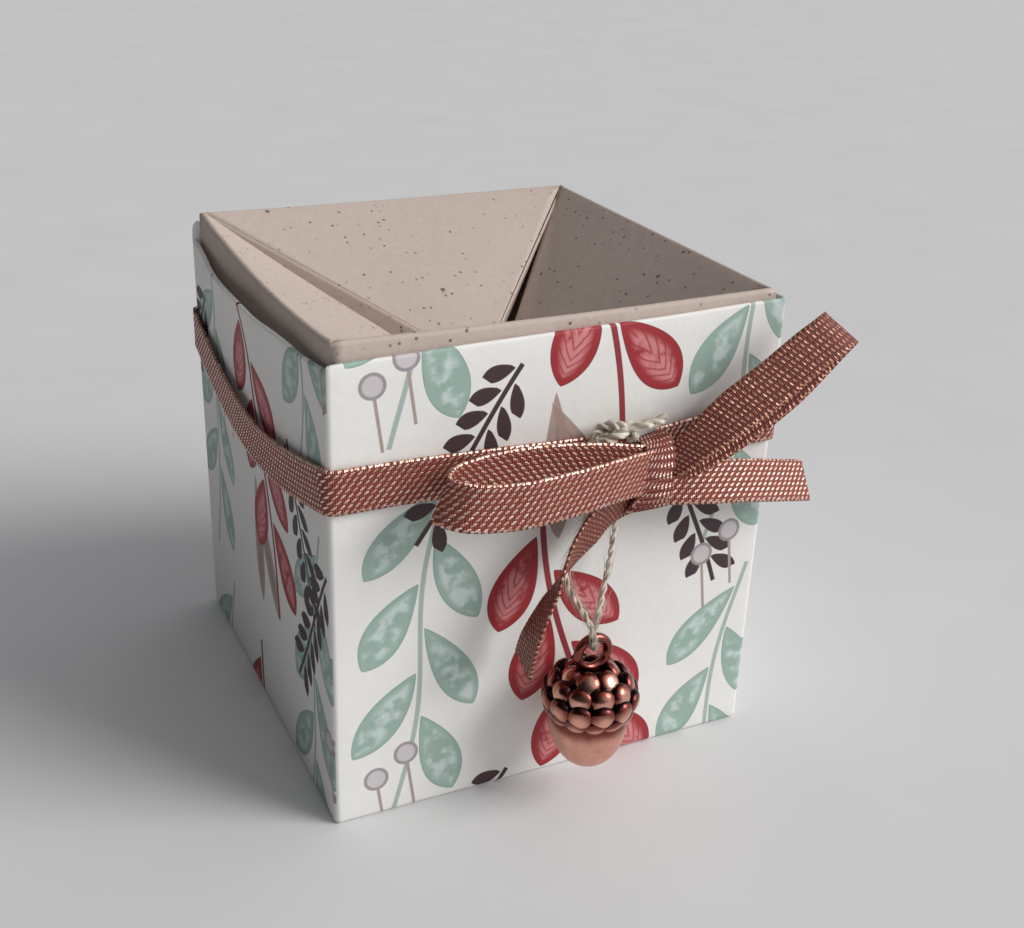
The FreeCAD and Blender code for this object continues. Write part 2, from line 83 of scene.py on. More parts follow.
# %% Shader maths
class Flow:
    """A value on its way through a material's nodes."""

    def __init__(self, tree, socket):
        self.tree = tree
        self.socket = socket

    def node(self, kind, settings=None, values=None, out=0):
        made = self.tree.nodes.new("ShaderNode" + kind)
        for key, value in (settings or {}).items():
            setattr(made, key, value)
        for key, value in (values or {}).items():
            if isinstance(value, Flow):
                self.tree.links.new(value.socket, made.inputs[key])
            else:
                made.inputs[key].default_value = value
        return Flow(self.tree, made.outputs[out])

    def math(self, operation, *values):
        return self.node("Math", {"operation": operation}, dict(enumerate(values)))

    def __add__(self, other):
        return self.math("ADD", self, other)

    __radd__ = __add__

    def __mul__(self, other):
        return self.math("MULTIPLY", self, other)

    __rmul__ = __mul__

    def __sub__(self, other):
        return self.math("SUBTRACT", self, other)

    def __rsub__(self, other):
        return self.math("SUBTRACT", other, self)

    def __truediv__(self, other):
        return self.math("DIVIDE", self, other)

    def __pow__(self, other):
        return self.math("POWER", self, other)

    def __abs__(self):
        return self.math("ABSOLUTE", self)

    def sine(self):
        return self.math("SINE", self)

    def most(self, other):
        return self.math("MAXIMUM", self, other)

    def least(self, other):
        return self.math("MINIMUM", self, other)

    def floor(self):
        return self.math("FLOOR", self)

    def wrapped(self, period):
        """The value's place in its own repeat, measured from the middle."""
        return self.math("FLOORED_MODULO", self + period / 2, period) - period / 2

    def ramp(self, low, high):
        """Runs smoothly from 0 at low to 1 at high."""
        return self.node("MapRange", {"interpolation_type": "SMOOTHSTEP"},
                         {"Value": self, "From Min": low, "From Max": high})

    def between(self, first, second):
        """Mixes two colours by this value."""
        return self.node("Mix", {"data_type": "RGBA"},
                         {0: self, 6: first, 7: second}, out=2)

    def parts(self):
        """The x, y and z of a vector."""
        split = self.tree.nodes.new("ShaderNodeSeparateXYZ")
        self.tree.links.new(self.socket, split.inputs[0])
        return [Flow(self.tree, output) for output in split.outputs]

    def noise(self, scale, detail=2.0, rough=0.5, out=0):
        return self.node("TexNoise", None, {"Vector": self, "Scale": scale,
                                            "Detail": detail, "Roughness": rough}, out)


class Finish:
    """A material with one main shader, whose inputs are named."""

    def __init__(self, name, **fixed):
        self.material = bpy.data.materials.new(name)
        self.material.use_nodes = True
        self.tree = self.material.node_tree
        self.shader = self.tree.nodes["Principled BSDF"]
        for key, value in fixed.items():
            self.shader.inputs[key.replace("_", " ")].default_value = value
        self.start = Flow(self.tree, None)

    def place(self):
        return self.start.node("TexCoord", out=3)

    def strip(self, layer="sheet"):
        return self.start.node("UVMap", {"uv_map": layer})

    def feed(self, **links):
        for key, value in links.items():
            self.tree.links.new(value.socket, self.shader.inputs[key.replace("_", " ")])

    def bump(self, height, distance, strength=1.0):
        normal = self.start.node("Bump", None, {"Height": height, "Distance": distance,
                                                "Strength": strength})
        self.feed(Normal=normal)


def colour(red, green, blue):
    return (red, green, blue, 1.0)


print("shader tools ready")

# %% [markdown]
# ## Floor and light
# The photograph is lit by a soft window to the upper right, which leaves the
# left wall in shade. A sun with a wide disc gives the same, and a grey world
# that is brighter on that side fills the shade. The camera itself sees an even
# backdrop.


# %% Floor and light
def linked(name, data, *materials):
    """Puts a mesh, curve or lamp into the scene."""
    thing = bpy.data.objects.new(name, data)
    scene.collection.objects.link(thing)
    for material in materials:
        data.materials.append(material)
    return thing


floor_finish = Finish("floor_finish", Roughness=0.85)
floor_grain = floor_finish.place().noise(40.0, 4.0)
floor_finish.feed(Base_Color=floor_grain.between(colour(0.66, 0.66, 0.665),
                                                 colour(0.73, 0.73, 0.735)))
shape = bmesh.new()
bmesh.ops.create_grid(shape, x_segments=1, y_segments=1, size=1.5)
floor_mesh = bpy.data.meshes.new("floor")
shape.to_mesh(floor_mesh)
shape.free()
floor = linked("floor", floor_mesh, floor_finish.material)

world = bpy.data.worlds.new("studio")
world.use_nodes = True
scene.world = world
sky = Flow(world.node_tree, None)
ray = sky.node("LightPath")
shiny = Flow(world.node_tree, ray.socket.node.outputs["Is Glossy Ray"])
towards_x, towards_y, towards_z = sky.node("TexCoord", out=0).parts()
glow = (towards_x * 0.60 - towards_y * 0.32 + towards_z * 0.66).ramp(-0.1, 1.0)
gleam = (towards_x * 0.70 - towards_y * 0.30 + towards_z * 0.66).ramp(0.35, 1.0)
fill = glow * 0.62 + 0.05
strength = ray * 0.62 + (1 - ray) * (fill * (1 - shiny * 0.55) + shiny * gleam * 1.1)
backdrop = world.node_tree.nodes["Background"]
backdrop.inputs["Color"].default_value = colour(0.96, 0.97, 1.0)
world.node_tree.links.new(strength.socket, backdrop.inputs["Strength"])

window_light = bpy.data.lights.new("window", "SUN")
window_light.angle = math.radians(34)
window_light.energy = 2.35
window_light.color = (1.0, 0.985, 0.96)
towards_window = Vector((0.60, -0.48, 0.52))
window = linked("window", window_light)
window.rotation_euler = (-towards_window).to_track_quat("-Z", "Y").to_euler()
scene.view_settings.view_transform = "Standard"
print("lamps", len(bpy.data.lights))

# %% [markdown]
# ## One tool for everything thin
# Paper and ribbon are thin sheets, bent in space. Each starts as a flat grid,
# whose points move to their places on the bent sheet. The flat position is kept
# as a UV map in millimetres, so a print or a weave follows every fold at size.


# %% A flat grid, bent into place
def bent_sheet(shape, columns, rows, wide, long, place):
    """Adds a grid to the bmesh, its flat millimetres kept as its UV map."""
    made = bmesh.ops.create_grid(shape, x_segments=columns, y_segments=rows, size=0.5)
    layer = shape.loops.layers.uv.get("sheet") or shape.loops.layers.uv.new("sheet")
    flat = {}
    for vertex in made["verts"]:
        u = (vertex.co.x + 0.5) * wide
        v = (vertex.co.y + 0.5) * long
        flat[vertex] = (u, v)
        vertex.co = Vector(place(u, v)) * MM
    faces = {face for vertex in made["verts"] for face in vertex.link_faces}
    for face in faces:
        face.smooth = True
        for loop in face.loops:
            loop[layer].uv = flat[loop.vert]
    return list(faces)


def finished(name, shape, *materials, thick=0.0, offset=-1.0):
    """Turns a bmesh into a piece of the scene that rides on the object."""
    mesh = bpy.data.meshes.new(name)
    shape.to_mesh(mesh)
    shape.free()
    piece = linked(name, mesh, *materials)
    if thick:
        wall = piece.modifiers.new("thickness", "SOLIDIFY")
        wall.thickness = thick * MM
        wall.offset = offset
        wall.use_even_offset = True
    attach(piece, "root")
    return piece


print("sheet tools ready")

# %% [markdown]
# ## Paper finishes
# The outer sheet is smooth printed paper, and its print is a generic garden of
# leaves in dull red, sage, taupe and near black. Each motif is a leaf shape, cut
# from the flat sheet by maths: one strip of the sheet is folded on itself so
# that one leaf repeats along a stem and on both its sides.


# %% Leaves from maths
def spin_about(across, along, degrees):
    """Turns flat coordinates, so that a motif can lean."""
    c, s = math.cos(math.radians(degrees)), math.sin(math.radians(degrees))
    return across * c + along * s, along * c - across * s


def leaf(across, along, length, width):
    """A pointed leaf along its own axis: 1 inside, and how far in it is."""
    half = length / 2
    reach = along / half
    room = (1 - reach * reach).most(0.0)
    edge = room ** 0.8 * (width / 2) * (1 - reach * 0.35)
    inside = edge - abs(across)
    return inside.ramp(0.0, 0.12), inside, reach


def sprig(across, along, stems, step, reach, lean, length, width, stem):
    """Pairs of leaves along a stem. Returns the leaves, their depth and the stem."""
    side = abs(across)
    sign = across.math("SIGN", across)
    local = (along + sign * (step / 4)).wrapped(step)
    row = along + sign * (step / 4) - local
    turned_across, turned_along = spin_about(side - reach, local, lean)
    shown, depth, place = leaf(turned_across, turned_along, length, width)
    kept = (abs(row) - step * (stems - 0.5)).ramp(0.02, 0.0)
    line = (abs(across) - stem / 2).ramp(0.1, 0.0) * (abs(along) - step * stems).ramp(0.1, 0.0)
    return shown * kept, depth, place, line


print("leaf tools ready")

# %% [markdown]
# ## The printed sheet
# The print repeats like real wrapping paper. Each motif has its own repeat,
# place and lean on the flat sheet, and later ones lie over earlier ones. Red
# leaves have a pale pink middle with fine veins, sage ones have washed patches,
# and the twigs are plain. The paper under them is a soft white.

# %% Printed paper
printed = Finish("printed_paper", Roughness=0.55, Specular_IOR_Level=0.35)
flat_u, flat_v, _ = printed.strip().parts()
tone = printed.place().noise(300.0, 3.0)
wash = printed.strip().noise(0.5, 3.0)
ink = wash.between(colour(0.83, 0.82, 0.79), colour(0.87, 0.86, 0.84))


def motif_place(u, v, repeat, centre, degrees, stagger=0.0):
    """Local coordinates of a motif that repeats over the sheet."""
    column = ((u - centre[0]) / repeat[0] + 0.5).floor()
    local_u = (u - centre[0]).wrapped(repeat[0])
    local_v = (v - centre[1] + column * stagger).wrapped(repeat[1])
    return spin_about(local_u, local_v, degrees)


# Sage sprigs with washed leaves
a, b = motif_place(flat_u, flat_v, (37, 44), (9, 20), -8, 19)
a = a + (b * 0.18).sine() * 0.8
shown, depth, place, line = sprig(a, b, 2, 10.5, 3.5, 32, 11.5, 4.4, 0.45)
patch = wash.ramp(0.42, 0.62) * depth.ramp(0.3, 1.2)
sage = patch.between(colour(0.33, 0.46, 0.40), colour(0.58, 0.68, 0.66))
sage = depth.ramp(0.22, 0.12).between(sage, colour(0.24, 0.36, 0.31))
ink = (line * 0.9).between(ink, colour(0.36, 0.46, 0.41))
ink = shown.between(ink, sage)

# Taupe slender leaves in a fan
for lean, shift in ((30, 3.2), (4, 0.0)):
    a, b = motif_place(flat_u, flat_v, (50, 47), (24 + shift, 38), lean, 21)
    shown, depth, place = leaf(a, b, 17.0, 3.4)
    rib = depth.ramp(1.05, 0.95)
    ink = (shown * 0.9).between(ink, rib.between(colour(0.30, 0.20, 0.17),
                                                 colour(0.40, 0.28, 0.24)))

# Red sprigs: dark rim, pale middle, fine veins
a, b = motif_place(flat_u, flat_v, (50, 46), (27, 14), 12, 24)
a = a + (b * 0.14).sine() * 1.0
shown, depth, place, line = sprig(a, b, 2, 9.8, 3.8, 32, 11.4, 5.2, 0.6)
vein = (place * 24.0 + depth * 7.0 + wash * 5.0).sine().ramp(0.3, 0.95)
middle = depth.ramp(0.7, 1.7) * (1 - vein * 0.7) * wash.ramp(0.30, 0.50)
red = middle.between(colour(0.36, 0.028, 0.035), colour(0.66, 0.24, 0.25))
red = depth.ramp(0.22, 0.12).between(red, colour(0.20, 0.015, 0.022))
ink = line.between(ink, colour(0.30, 0.04, 0.05))
ink = shown.between(ink, red)

# Dark twigs with many small leaves
for centre, lean, repeat in (((14, 41), -38, (45, 48)), ((41, 30), 16, (50, 52))):
    a, b = motif_place(flat_u, flat_v, repeat, centre, lean, 17)
    a = a + (b * 0.12).sine() * 1.2
    shown, depth, place, line = sprig(a, b, 4, 2.6, 1.75, 42, 4.1, 1.75, 0.45)
    ink = line.most(shown).between(ink, colour(0.060, 0.034, 0.038))

# Round berries on thin stalks
for shift, rise in ((0.0, 0.0), (3.4, 2.4)):
    a, b = motif_place(flat_u, flat_v, (39, 45), (4 + shift, 5 + rise), 8, 26)
    away = (a * a + b * b) ** 0.5
    stalk = (abs(a) - 0.13).ramp(0.1, 0.0) * (abs(b + 4.0) - 3.0).ramp(0.1, 0.0)
    ink = stalk.between(ink, colour(0.42, 0.34, 0.30))
    ink = (away - 1.35).ramp(0.12, 0.0).between(ink, colour(0.35, 0.31, 0.33))
    ink = (away - 0.95).ramp(0.2, 0.0).between(ink, colour(0.62, 0.58, 0.59))

printed.feed(Base_Color=ink)
printed.bump(tone + wash * 0.6, 0.0003, 0.25)
print("print nodes", len(printed.tree.nodes))

# %% [markdown]
# ## The speckled sheet
# The inner paper is unprinted kraft in a warm beige, with long fibres and dark
# flecks of bark. Flecks are the small cells of a Voronoi pattern, and a noise
# picks which of them show, so they stay sparse and uneven.

# %% Speckled paper
speckled = Finish("speckled_paper", Roughness=0.75, Specular_IOR_Level=0.25)
where = speckled.place()
cloud = where.noise(60.0, 3.0)
fibre = where.noise(900.0, 3.0, 0.7)
ground = cloud.between(colour(0.52, 0.42, 0.365), colour(0.58, 0.48, 0.425))
ground = (fibre.ramp(0.4, 0.75) * 0.5).between(ground, colour(0.59, 0.52, 0.475))
for scale, size, share, dark in ((560.0, 0.13, 0.86, 0.62), (1200.0, 0.17, 0.78, 0.66)):
    cell = where.node("TexVoronoi", None, {"Vector": where, "Scale": scale})
    pick = where.node("TexVoronoi", None, {"Vector": where, "Scale": scale}, out=1).parts()[0]
    fleck = cell.ramp(size * 1.6, size * 0.8) * pick.ramp(share, 1.0) * (1.2 * dark) + (
        cell.ramp(size * 1.6, size * 0.8) * pick.ramp(share, share + 0.02) * (0.5 * dark))
    ground = fleck.least(0.9).between(ground, colour(0.13, 0.095, 0.085))
speckled.feed(Base_Color=ground)
speckled.bump(fibre, 0.0002, 0.3)
print("speckle nodes", len(speckled.tree.nodes))

# %% [markdown]
# ## Outer box
# The printed sheet runs round the four walls as one strip, turns over at the
# rim and goes down inside as a hem. So it is modelled as one strip: a grid whose
# long side walks round a rounded square, and whose short side climbs the wall,
# bends over the rim and drops again. Hand folding leaves the walls a little
# uneven, which a slow noise gives.

# %% Outer box
box_width = 50.0
box_height = 52.3
edge_round = 0.6
rim_bend = 0.3
paper = 0.25
corner_share = 0.12
rim_opening, opening_from = 0.75, 43.0
foot_rows, wall_rows, bend_rows, hem_rows = 4, 26, 6, 4
hem_step = 4.0
foot_length = edge_round * math.pi / 2
bend_length = rim_bend * math.pi
straight_length = box_height - rim_bend - edge_round


def rounded_square(half, bend, travel):
    """The point and the outward direction at a share 0 to 4 of the way round."""
    side = int(travel) % 4
    share = travel - int(travel)
    # The two ends of each wall are half of a corner's bend
    straight = half - bend
    angle = 0.0
    if share < corner_share:
        angle = math.radians(-45 + 45 * share / corner_share)
        middle = -straight
    elif share > 1 - corner_share:
        angle = math.radians(45 * (share - 1 + corner_share) / corner_share)
        middle = straight
    else:
        middle = straight * (2 * (share - corner_share) / (1 - 2 * corner_share) - 1)
    outward = Vector((math.sin(angle), -math.cos(angle)))
    local = Vector((middle, -straight)) + bend * outward
    spin = Matrix.Rotation(math.radians(90 * side), 2)
    return spin @ local, spin @ outward


def outer_profile(climb):
    """How far in and how high the sheet is after so many millimetres."""
    if climb < foot_length:
        angle = climb / edge_round
        return edge_round * (1 - math.sin(angle)), edge_round * (1 - math.cos(angle))
    climb -= foot_length
    if climb < straight_length:
        return 0.0, edge_round + climb
    climb -= straight_length
    if climb < bend_length:
        angle = climb / rim_bend
        return (rim_bend * (1 - math.cos(angle)),
                box_height - rim_bend + rim_bend * math.sin(angle))
    return 2 * rim_bend, box_height - rim_bend - (climb - bend_length)


def outer_climb(row):
    """The sheet's millimetres at a row: the foot, the wall, the rim, then the hem."""
    climb = 0.0
    for rows, length in ((foot_rows, foot_length), (wall_rows, straight_length),
                         (bend_rows, bend_length)):
        if row <= rows:
            return climb + length * row / rows
        row -= rows
        climb += length
    return climb + hem_step * row


def uneven(x, y, z, size, seed):
    """A slow unevenness of hand-folded paper, in millimetres."""
    return noise.noise(Vector((x / size, y / size, z / size + seed)))


# How far the rim dips, after so many walls from the front left corner
RIM_DIPS = ((0.0, 1.2), (0.5, 0.6), (0.98, 0.05), (2.0, 0.0), (2.75, 0.05),
            (2.97, 0.7), (3.04, 1.3), (3.12, 2.7), (3.3, 3.9), (3.5, 3.5),
            (3.75, 2.4), (3.94, 1.4), (4.0, 1.2))


def rim_dip(travel):
    for (first, low), (last, high) in zip(RIM_DIPS, RIM_DIPS[1:]):
        if travel <= last:
            share = (travel - first) / (last - first)
            return low + (high - low) * share * share * (3 - 2 * share)
    return 0.0


def outer_place(u, v):
    climb = outer_climb(v)
    inward, height = outer_profile(climb)
    spot, outward = rounded_square(box_width / 2 - inward, max(edge_round - inward, 0.02), u)
    from_corner = min(u % 1, 1 - u % 1) - corner_share
    wall = min(1.0, height / 6.0) * min(1.0, max(0.0, from_corner) * 8)
    give = -0.10 + 0.16 * uneven(spot.x, spot.y, height, 17.0, 3.0)
    # The left wall's rim stands a little away from the inner box
    opened = math.sin(math.pi * (u - 3)) if u > 3 else 0.0
    give += rim_opening * opened * max(0.0, (height - opening_from) / 9.0) ** 2
    spot = spot + outward * give * wall
    dip = rim_dip(u) + 0.08 * (0.5 + uneven(spot.x, spot.y, 0.0, 9.0, 8.0))
    return spot.x, spot.y, height - dip * max(0.0, height / box_height - 0.4) / 0.6


shape = bmesh.new()
columns_per_wall = 50
rows = foot_rows + wall_rows + bend_rows + hem_rows
bent_sheet(shape, 4 * columns_per_wall, rows, 4.0, rows, outer_place)
layer = shape.loops.layers.uv["sheet"]
for face in shape.faces:
    for loop in face.loops:
        u, v = loop[layer].uv
        side = math.floor(u + 1e-6) if u < 4 - 1e-6 else 3
        share = u - side
        flat = min(max((share - corner_share) / (1 - 2 * corner_share), 0.0), 1.0)
        loop[layer].uv = (box_width * (side + flat), outer_climb(v))
bmesh.ops.remove_doubles(shape, verts=shape.verts, dist=0.004 * MM)
foot = [edge for edge in shape.edges if edge.is_boundary
        and max(vertex.co.z for vertex in edge.verts) < 0.1 * MM]
bmesh.ops.edgeloop_fill(shape, edges=foot)
bmesh.ops.recalc_face_normals(shape, faces=shape.faces)
outer_box = finished("outer_sheet", shape, printed.material, thick=paper)
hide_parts("outer_box")
print("outer sheet faces", len(outer_box.data.polygons))

# %% [markdown]
# ## Inner box
# The inner sheet climbs the wall, makes a soft round fold over the outer rim
# and runs on as a flap that leans into the box. Each of the four sides is one
# grid again. Its rows follow the wall, the fold and the flap, and narrow to the
# flap's point. The four grids meet in mitres at the corners, and one face closes
# the base.

# %% Inner box
inner_half = 24.1
inner_top = 53.05
rim_round = 0.45
# Each flap's turn round the box, its length and its lean in degrees
FLAPS = {"front": (0, 29.5, 62.0), "right": (90, 24.6, 38.0),
         "back": (180, 30.2, 24.0), "left": (270, 26.0, 34.0)}
# How far each rim bows outwards, and how far it sags, in its middle
RIM_BOW = {"front": 0.1, "right": 0.1, "back": 0.1, "left": -0.35}
RIM_SAG = {"front": 0.2, "right": 0.1, "back": 0.2, "left": 1.7}


def side_turn(degrees, x, y, z):
    """Turns a place on the front side to another side."""
    c, s = math.cos(math.radians(degrees)), math.sin(math.radians(degrees))
    return Vector((x * c - y * s, x * s + y * c, z))


def flap_frame(lean):
    """Where a flap leaves its fold, along it, and square to it, at the front."""
    fall = math.radians(lean)
    along = Vector((0, math.cos(fall), -math.sin(fall)))
    normal = Vector((0, math.sin(fall), math.cos(fall)))
    start = Vector((0, -inner_half + rim_round, inner_top - rim_round)) + normal * rim_round
    return start, along, normal


def inner_side(shape, side):
    degrees, flap, lean = FLAPS[side]
    start, along, normal = flap_frame(lean)
    climb_rows, arc_rows, flap_rows = 8, 9, 24
    arc = math.radians(90 + lean)
    wall = inner_top - rim_round - paper

    def place(u, v):
        arch = math.cos(math.pi * (u - 0.5))
        wave = 1 + 0.25 * noise.noise(Vector((u * 3, degrees, 2)))
        bow = RIM_BOW[side] * arch * wave
        sag = RIM_SAG[side] * arch ** 0.7 * wave
        if v < climb_rows:
            y, z = -inner_half, inner_top - rim_round - wall * (1 - v / climb_rows)
            reach = inner_half
            bow *= (v / climb_rows) ** 6
            sag *= (v / climb_rows) ** 4
        elif v < climb_rows + arc_rows:
            angle = arc * (v - climb_rows) / arc_rows
            y = -inner_half + rim_round - rim_round * math.cos(angle)
            z = inner_top - rim_round + rim_round * math.sin(angle)
            reach = inner_half - max(0.0, rim_round * (1 - math.cos(angle)))
        else:
            share = (v - climb_rows - arc_rows) / flap_rows
            spot = start + along * flap * share
            spot += normal * (0.35 * math.sin(math.pi * share) * arch)
            y, z = spot.y, spot.z
            first = inner_half - rim_round * (1 - math.cos(arc))
            reach = first * (1 - share)
            bow *= max(0.0, 1 - share * 3)
            sag *= max(0.0, 1 - share * 1.5)
        return side_turn(degrees, (2 * u - 1) * reach, y - bow, z - sag)

    rows = climb_rows + arc_rows + flap_rows
    bent_sheet(shape, 40, rows, 1.0, rows, place)


shape = bmesh.new()
for side in FLAPS:
    inner_side(shape, side)
bmesh.ops.remove_doubles(shape, verts=shape.verts, dist=0.01 * MM)
foot = [edge for edge in shape.edges if edge.is_boundary
        and max(vertex.co.z for vertex in edge.verts) < 2 * paper * MM]
base = bmesh.ops.edgeloop_fill(shape, edges=foot)["faces"]
for face in base:
    face.normal_update()
    if face.normal.z > 0:
        face.normal_flip()
print("inner base faces", len(base))
inner_box = finished("inner_sheet", shape, speckled.material, thick=paper)
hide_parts("inner_box")
print("inner sheet faces", len(inner_box.data.polygons))

# %% [markdown]
# ## Tucks
# The two long flaps end in soft ridges, where the sheet turns down under them
# and fills the corner beside the next flap. Each is a narrow grid that starts
# on the flap's edge, bends round the ridge and hangs as a triangle.

# %% Tucks
ridge_round = 0.28
ridge_rows, hang_rows = 4, 6
tuck_share = 0.86
tuck_drop = 7.5


def tuck(shape, side, hand, tilt, inset):
    degrees, flap, lean = FLAPS[side]
    start, along, normal = flap_frame(lean)
    corner = start + Vector((hand * (inner_half - rim_round - inset), 0, 0))
    run = (start + along * flap - corner) * tuck_share
    ridge = run.normalized()
    outward = ridge.cross(normal)
    if outward.x * hand < 0:
        outward = -outward
    fall = math.radians(tilt)
    down = Vector((-hand * math.sin(fall), 0, -math.cos(fall)))
    down = (down - ridge * down.dot(ridge)).normalized()
    centre = -normal * (ridge_round + paper)
    turned = math.pi / 2 + math.asin(max(-1, min(1, -down.dot(outward))))

    def place(u, v):
        angle = turned * min(1.0, v / ridge_rows)
        spot = corner + run * u + centre
        spot += (normal * math.cos(angle) + outward * math.sin(angle)) * ridge_round
        spot += down * (tuck_drop * u * max(0.0, v - ridge_rows) / hang_rows)
        return side_turn(degrees, *spot)

    rows = ridge_rows + hang_rows
    bent_sheet(shape, 30, rows, 1.0, rows, place)


shape = bmesh.new()
for side, hand, tilt, inset in (("front", -1, 20, 0.0), ("front", 1, 20, 0.0),
                                ("back", -1, 20, 0.0), ("back", 1, -24, 0.35)):
    tuck(shape, side, hand, tilt, inset)
bmesh.ops.recalc_face_normals(shape, faces=shape.faces)
tucks = finished("inner_tucks", shape, speckled.material, thick=paper)
print("tuck faces", len(tucks.data.polygons))

# %% [markdown]
# ## Ribbon
# The ribbon is one woven strip with a firm edge. Its shape is a path with a
# direction across it at each point, so again a flat grid is bent along it. The
# path's points are those of the measured model.


# %% Straps along a path
def spread(values, places, steps):
    """The places' values, blended at even distances along them, and the length."""
    reach = [0.0]
    for before, after in zip(places, places[1:]):
        reach.append(reach[-1] + (after - before).length)
    even, number = [], 0
    for step in range(steps + 1):
        goal = reach[-1] * step / steps
        while number < len(places) - 2 and reach[number + 1] < goal:
            number += 1
        share = (goal - reach[number]) / (reach[number + 1] - reach[number])
        even.append(values[number].lerp(values[number + 1], min(1.0, share)))
    return even, reach[-1]


def smooth_path(points, steps):
    """A smooth curve through the points, as evenly spaced places on it."""
    fine = []
    gaps = [(after - before).length for before, after in zip(points, points[1:])]
    slopes = [(points[1] - points[0]) / gaps[0]]
    for number in range(1, len(points) - 1):
        near, far = gaps[number - 1], gaps[number]
        slopes.append(((points[number] - points[number - 1]) / near * far
                       + (points[number + 1] - points[number]) / far * near) / (near + far))
    slopes.append((points[-1] - points[-2]) / gaps[-1])
    for number, gap in enumerate(gaps):
        first, last = points[number], points[number + 1]
        for step in range(24):
            t = step / 24
            fine.append(first * (2 * t ** 3 - 3 * t ** 2 + 1) + last * (3 * t ** 2 - 2 * t ** 3)
                        + slopes[number] * (gap * (t ** 3 - 2 * t ** 2 + t))
                        + slopes[number + 1] * (gap * (t ** 3 - t ** 2)))
    fine.append(points[-1])
    return spread(fine, fine, steps)


ribbon_width = 4.6
ribbon_thick = 0.35
woven_thick = 0.3


def strap(shape, places, acrosses, rows, pinch=(), material=0):
    """Adds one stretch of ribbon to the bmesh."""
    points, length = smooth_path(places, rows)
    across, _ = spread(acrosses, places, rows)
    narrow, _ = spread([Vector((value, 0, 0)) for value in pinch or [1] * len(places)],
                       places, rows)

    def place(u, v):
        row = min(rows, max(0, round(v * rows)))
        ahead = points[min(rows, row + 1)] - points[max(0, row - 1)]
        out = across[row].normalized().cross(ahead).normalized()
        side = ahead.cross(out).normalized()
        wide = ribbon_width * narrow[row].x
        return points[row] + side * ((u - 0.5) * wide)

    faces = bent_sheet(shape, 10, rows, 1.0, 1.0, place)
    layer = shape.loops.layers.uv["sheet"]
    for face in faces:
        face.material_index = material
        for loop in face.loops:
            u, v = loop[layer].uv
            loop[layer].uv = (u * ribbon_width, v * length)


print("strap tools ready")

# %% [markdown]
# ## The ribbon's weave
# Seen close up, the ribbon has slanting rows of bright raised dashes, a glossy
# weft over dark threads, and a scalloped edge. Each dash is an oval in its own
# small repeat of the strip. Its height also drives the bump, so light catches
# it as it does a real thread. A second copy of the weave has dashes that lie
# across it and darker colours, which are painted shade: it goes on the right
# loop and the hanging tail. Round the knot the dashes are pulled into rows.


# %% Woven ribbon finish
def weave(name, pitches, stagger, degrees, half, dull, shiny, ground, depth):
    """A woven finish with one dash in each repeat of the strip."""
    finish = Finish(name, Specular_IOR_Level=0.5)
    across, along, _ = finish.strip().parts()
    row = (across / pitches[0]).floor()
    cell_across = (across - pitches[0] / 2).wrapped(pitches[0])
    cell_along = (along + row * stagger).wrapped(pitches[1])
    dash_across, dash_along = spin_about(cell_across, cell_along, degrees)
    oval = (abs(dash_across) / half[0]) ** 2.0 + (abs(dash_along) / half[1]) ** 2.0
    dash = oval.ramp(1.2, 0.3)
    wander = finish.strip().noise(1.6, 3.0)
    edge = (abs(across - ribbon_width / 2) - (ribbon_width / 2 - 0.28)).ramp(0.0, 0.06)
    scallop = edge * (along * (2 * math.pi / 0.6)).sine().ramp(-0.5, 0.5)
    thread = (along * (2 * math.pi / 0.21)).sine().ramp(-1.0, 1.0)
    raised = dash.most(scallop)
    dark = thread.between(colour(0.10, 0.010, 0.007), ground)
    bright = wander.ramp(0.3, 0.7).between(dull, shiny)
    finish.feed(Base_Color=raised.between(dark, bright), Metallic=raised * 0.9,
                Roughness=0.6 - raised * 0.24)
    finish.bump(raised + thread * 0.2, depth, 1.0)
    return finish


woven = weave("woven_ribbon", (0.54, 0.76), 0.34, -34, (0.14, 0.38), colour(0.72, 0.33, 0.23),
              colour(1.0, 0.78, 0.69), colour(0.36, 0.070, 0.040), 0.00014)
# A darker copy for the right loop and the hanging tail: its darker colours are painted shade
woven_painted_shade = weave("woven_ribbon_painted_shade", (0.74, 0.50), 0.22, 76, (0.12, 0.36),
                   colour(0.34, 0.13, 0.08), colour(0.66, 0.35, 0.25),
                   colour(0.22, 0.045, 0.028), 0.00016)
woven_knot = weave("woven_ribbon_knot", (0.46, 0.90), 0.07, -14, (0.15, 0.36),
                   colour(0.72, 0.33, 0.23), colour(1.0, 0.80, 0.70),
                   colour(0.30, 0.055, 0.035), 0.00018)
print("weave nodes", len(woven.tree.nodes))

# %% [markdown]
# ## Band, bow and tails
# The band lies on the walls and sags a little on the left. Two loops and two
# tails leave the knot, and the knot itself is the ribbon wrapped once round the
# crossing.

# %% Band, bow and tails
knot_x, knot_z = 8.6, 36.7
wall_front = -25.25
band_height = 38.8
band_half = 25.425
band_sag = 4.0
bend_round = 1.2


def from_knot(*places):
    return [Vector((knot_x + x, wall_front - y, knot_z + z)) for x, y, z in places]


def hung(place):
    """The band's left side hangs a little, most in its middle."""
    if place.x > -band_half + bend_round / 2:
        return place
    sag = max(0.0, math.cos(math.pi * place.y / (2 * (band_half - bend_round))))
    return place - Vector((sag * ribbon_thick, 0, sag * band_sag))


